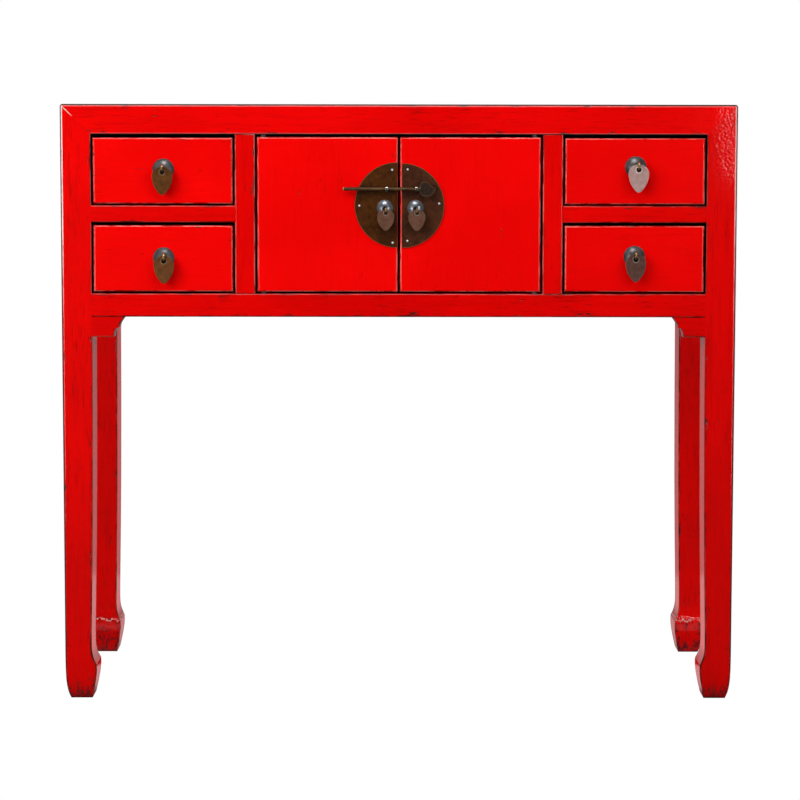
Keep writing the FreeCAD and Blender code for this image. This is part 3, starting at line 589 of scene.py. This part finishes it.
def boss_metal(node):
    if node.startswith("door"):
        return metal("lock_steel_" + node, (0.40, 0.41, 0.45), (0.23, 0.238, 0.265), (0.55, 0.56, 0.60), rough=(0.27, 0.37), metallic=0.85, extra=pin_hole_shade(node, 0.0036, 0.0015))
    return metal("dull_steel_" + node, (0.175, 0.168, 0.172), (0.10, 0.092, 0.095), (0.26, 0.26, 0.27), rough=(0.30, 0.42), metallic=0.75, extra=pin_hole_shade(node, 0.0034, 0.0))


steel = metal("dull_steel", (0.13, 0.125, 0.13), (0.075, 0.07, 0.072), (0.20, 0.20, 0.21), rough=(0.34, 0.50), metallic=0.65)


def painted_rim_shade(color, lo, hi, gain):
    """Painted shade where a small round piece turns away from the front."""
    def extra(nt, col, x, y, z, grit):
        n = put(nt, "ShaderNodeSeparateXYZ", {0: put(nt, "ShaderNodeTexCoord").outputs["Normal"]}).outputs[1]
        return blend(nt, ramp(nt, calc(nt, "ABSOLUTE", n), lo, hi, gain, 0.0), col, color)
    return extra


bright = metal("bright_steel", (0.82, 0.82, 0.84), (0.62, 0.61, 0.60), (0.92, 0.92, 0.94), rough=(0.25, 0.4), metallic=0.25, extra=painted_rim_shade((0.05, 0.03, 0.02), 0.60, 0.84, 0.9))
brass = metal("dark_brass", (0.66, 0.43, 0.17), (0.30, 0.16, 0.055), (0.85, 0.66, 0.36), rough=(0.20, 0.32), metallic=0.8, extra=painted_rim_shade((0.05, 0.026, 0.010), 0.35, 0.75, 0.85))
eye_metal = metal("eye_bronze", (0.46, 0.40, 0.32), (0.20, 0.155, 0.11), (0.66, 0.62, 0.56), rough=(0.16, 0.26), metallic=0.9, extra=painted_rim_shade((0.035, 0.024, 0.016), 0.30, 0.70, 0.85))


def bolt_marks(nt, col, x, y, z, grit):
    """Dark stippled field of the head inside a lighter rim; rings turned near the tip of the rod; painted shade where
    the rod turns away from the front.
    """
    head = ramp(nt, x, 0.0262, 0.0270)
    sunk = calc(nt, "MULTIPLY", head, ramp(nt, y, Y_FRONT - 0.00762, Y_FRONT - 0.00745))
    n = put(nt, "ShaderNodeSeparateXYZ", {0: put(nt, "ShaderNodeTexCoord").outputs["Normal"]}).outputs[1]
    # painted shade where the rod and head turn away from the front
    col = blend(nt, ramp(nt, calc(nt, "ABSOLUTE", n), 0.45, 0.86, 0.85, 0.0), col, (0.016, 0.008, 0.004))
    col = blend(nt, calc(nt, "MULTIPLY", head, 0.85), col, (0.060, 0.033, 0.019))
    col = blend(nt, calc(nt, "MULTIPLY", sunk, ramp(nt, grit, 0.44, 0.56, 0.55, 0.97)), col, (0.014, 0.0085, 0.0065))
    turn = calc(nt, "FRACT", calc(nt, "MULTIPLY", x, 480.0))
    tip = calc(nt, "MULTIPLY", ramp(nt, x, -0.0600, -0.0520, 1.0, 0.0), ramp(nt, calc(nt, "ABSOLUTE", calc(nt, "SUBTRACT", turn, 0.5)), 0.22, 0.34))
    col = blend(nt, calc(nt, "MULTIPLY", tip, 0.6), col, (0.018, 0.010, 0.005))
    return blend(nt, ramp(nt, x, -0.0735, -0.0728, 0.8, 0.0), col, (0.42, 0.30, 0.10))


rod = metal("bolt_bronze", (0.105, 0.052, 0.020), (0.055, 0.026, 0.010), (0.17, 0.095, 0.045), rough=(0.34, 0.5), metallic=0.2, axis="X", extra=bolt_marks, specular=0.25)
LEAF_BROWN = ((0.092, 0.032, 0.0055), (0.055, 0.018, 0.003), (0.125, 0.055, 0.014), (0.125, 0.085, 0.036))
LEAF_OCHRE = ((0.118, 0.042, 0.010), (0.075, 0.025, 0.006), (0.16, 0.073, 0.024), (0.14, 0.095, 0.042))
# the right leaves' paler and greyer colours are a painted reflection
LEAF_PAINTED_REFLECTION_PALE = ((0.36, 0.225, 0.210), (0.27, 0.165, 0.150), (0.46, 0.34, 0.33), (0.42, 0.39, 0.35))
LEAF_PAINTED_REFLECTION_GREY = ((0.084, 0.040, 0.030), (0.056, 0.025, 0.018), (0.125, 0.072, 0.058), (0.14, 0.112, 0.092))
LEAF_LOCK = ((0.112, 0.050, 0.030), (0.080, 0.034, 0.020), (0.155, 0.085, 0.056), (0.145, 0.108, 0.082))
leaf_look = {"drawer_upper_left": LEAF_BROWN, "drawer_lower_left": LEAF_OCHRE, "drawer_upper_right": LEAF_PAINTED_REFLECTION_PALE, "drawer_lower_right": LEAF_PAINTED_REFLECTION_GREY}

for v in ("upper", "lower"):
    for h in ("left", "right"):
        d = "drawer_" + v + "_" + h
        give(d + "_walls", wood_y)
        give(d + "_bottom", wood_x)
        give(d + "_boss", boss_metal(d + "_boss"))
        give(d + "_pin", brass)
        give(d + "_leaf", leaf("leaf_" + v + "_" + h, d + "_leaf", *leaf_look[d], 0.0072, 0.0032))
PLATE_LOOK = {"left": ((0.062, 0.0180, 0.0022), (0.030, 0.0085, 0.0012)), "right": ((0.058, 0.0180, 0.0066), (0.030, 0.0092, 0.0038))}
for h in ("left", "right"):
    d = "door_" + h
    give(d + "_pivots", steel)
    give(d + "_plate", bronze_plate("lock_plate_" + h, plate_edge(h), *PLATE_LOOK[h], (0.085, 0.062, 0.026)))
    give(d + "_nails", bright)
    give(d + "_eye", eye_metal)
    give(d + "_boss", boss_metal(d + "_boss"))
    give(d + "_pin", brass)
    give(d + "_leaf", leaf("leaf_lock_" + h, d + "_leaf", *LEAF_LOCK, 0.00465, 0.0023))
give("bolt", rod)

# ---- floor --------------------------------------------------------------------------------------
mesh = bpy.data.meshes.new("floor")
mesh.from_pydata([(-20, -20, 0), (20, -20, 0), (20, 20, 0), (-20, 20, 0)], [], [(0, 1, 2, 3)])
floor = bpy.data.objects.new("floor", mesh)
scene.collection.objects.link(floor)
fm, nt = material("pale_floor")
ray = put(nt, "ShaderNodeLightPath")
spot = put(nt, "ShaderNodeSeparateXYZ", {0: put(nt, "ShaderNodeNewGeometry").outputs["Position"]}).outputs[1]
white = put(nt, "ShaderNodeEmission", {"Color": (1, 1, 1, 1), "Strength": 1.0})
near = calc(nt, "MULTIPLY", ramp(nt, spot, -0.17, -0.10, 0.0, 0.42), ramp(nt, spot, 0.03, 0.06, 1.0, 0.0))
shine = calc(nt, "MULTIPLY", ramp(nt, spot, 0.12, 0.20, 0.0, 0.39), ramp(nt, spot, 0.78, 0.88, 1.0, 0.56))
shine = calc(nt, "MAXIMUM", near, shine)
far_off = put(nt, "ShaderNodeEmission", {"Color": (1, 0.95, 0.96, 1), "Strength": shine})
dim = put(nt, "ShaderNodeBsdfDiffuse", {"Color": (0.15, 0.145, 0.145, 1)})
pick = put(nt, "ShaderNodeMixShader", {0: ray.outputs["Is Glossy Ray"], 1: dim.outputs[0], 2: far_off.outputs[0]})
pick = put(nt, "ShaderNodeMixShader", {0: ray.outputs["Is Camera Ray"], 1: pick.outputs[0], 2: white.outputs[0]})
nt.links.new(pick.outputs[0], put(nt, "ShaderNodeOutputMaterial").inputs[0])
mesh.materials.append(fm)

# ---- surroundings and lights ----------------------------------------------------------------------
world = bpy.data.worlds.new("studio")
scene.world = world
world.use_nodes = True
nt = world.node_tree
nt.nodes.clear()
ray = put(nt, "ShaderNodeLightPath")
d = put(nt, "ShaderNodeSeparateXYZ", {0: put(nt, "ShaderNodeTexCoord").outputs["Generated"]})
level = ramp(nt, d.outputs[1], -0.15, 0.40, 0.004, 0.28)
dimbg = put(nt, "ShaderNodeBackground", {"Color": (1, 1, 1, 1), "Strength": level})
whitebg = put(nt, "ShaderNodeBackground", {"Color": (1, 1, 1, 1), "Strength": 1.0})
pick = put(nt, "ShaderNodeMixShader", {0: ray.outputs["Is Camera Ray"], 1: dimbg.outputs[0], 2: whitebg.outputs[0]})
nt.links.new(pick.outputs[0], put(nt, "ShaderNodeOutputWorld").inputs[0])


def softbox(name, where, target, w, h, power):
    data = bpy.data.lights.new(name, "AREA")
    data.shape = "RECTANGLE"
    data.size, data.size_y = w, h
    data.energy = power
    o = bpy.data.objects.new(name, data)
    scene.collection.objects.link(o)
    o.location = where
    o.rotation_euler = (Vector(target) - Vector(where)).to_track_quat("-Z", "Y").to_euler()
    return o


for name, where, target, power in (("key_left", (-2.00, -1.60, 1.75), (-0.1, -0.19, 0.66), 66.0), ("key_right", (2.00, -1.70, 1.75), (0.1, -0.19, 0.66), 31.5)):
    softbox(name, where, target, 1.4, 1.5, power).visible_glossy = False
softbox("edge_left", (-1.38, -2.10, 0.28), (-0.3, -0.19, 0.50), 0.70, 0.95, 10.0)
softbox("edge_right", (1.38, -2.15, 0.28), (0.3, -0.19, 0.50), 0.70, 0.95, 7.0)
softbox("front_top", (-0.15, -1.50, 2.50), (0.0, -0.19, 0.70), 1.2, 0.8, 22.0)
glint = softbox("glint", (0.632, -0.99, 0.785), (0.44, -0.19, 0.75), 0.022, 0.10, 0.30)
glint.visible_camera = False
overhead = softbox("top_soft", (0.0, 0.2, 2.9), (0.0, 0.0, 0.8), 1.8, 1.2, 14.0)
overhead.visible_glossy = False
softbox("back_soft", (0.6, 3.2, 1.9), (0.0, 0.0, 0.5), 1.6, 1.6, 40.0).visible_glossy = False
softbox("side_left", (-3.0, 0.7, 1.2), (-0.4, 0.0, 0.45), 1.4, 1.6, 96.0).visible_glossy = False
softbox("side_right", (3.0, 0.7, 1.2), (0.4, 0.0, 0.45), 1.4, 1.6, 124.0).visible_glossy = False

# ---- camera ------------------------------------------------------------------------------------------
cam_data = bpy.data.cameras.new("camera")
cam_data.sensor_fit = "HORIZONTAL"
cam_data.sensor_width = 36.0
cam_data.lens = 2740.0 / 800.0 * 36.0
cam_data.clip_end = 60.0
cam = bpy.data.objects.new("camera", cam_data)
scene.collection.objects.link(cam)
turn = Matrix.Rotation(math.radians(-0.1696), 4, "Z") @ Matrix.Rotation(math.radians(84.39), 4, "X") @ Matrix.Rotation(math.radians(0.084), 4, "Z")
cam.matrix_world = Matrix.Translation((-0.009, Y_FRONT - 3.651, 0.765)) @ turn
scene.camera = cam

scene.view_settings.view_transform = "Standard"
scene.view_settings.look = "None"
scene.view_settings.exposure = 0.0
scene.view_settings.gamma = 1.0
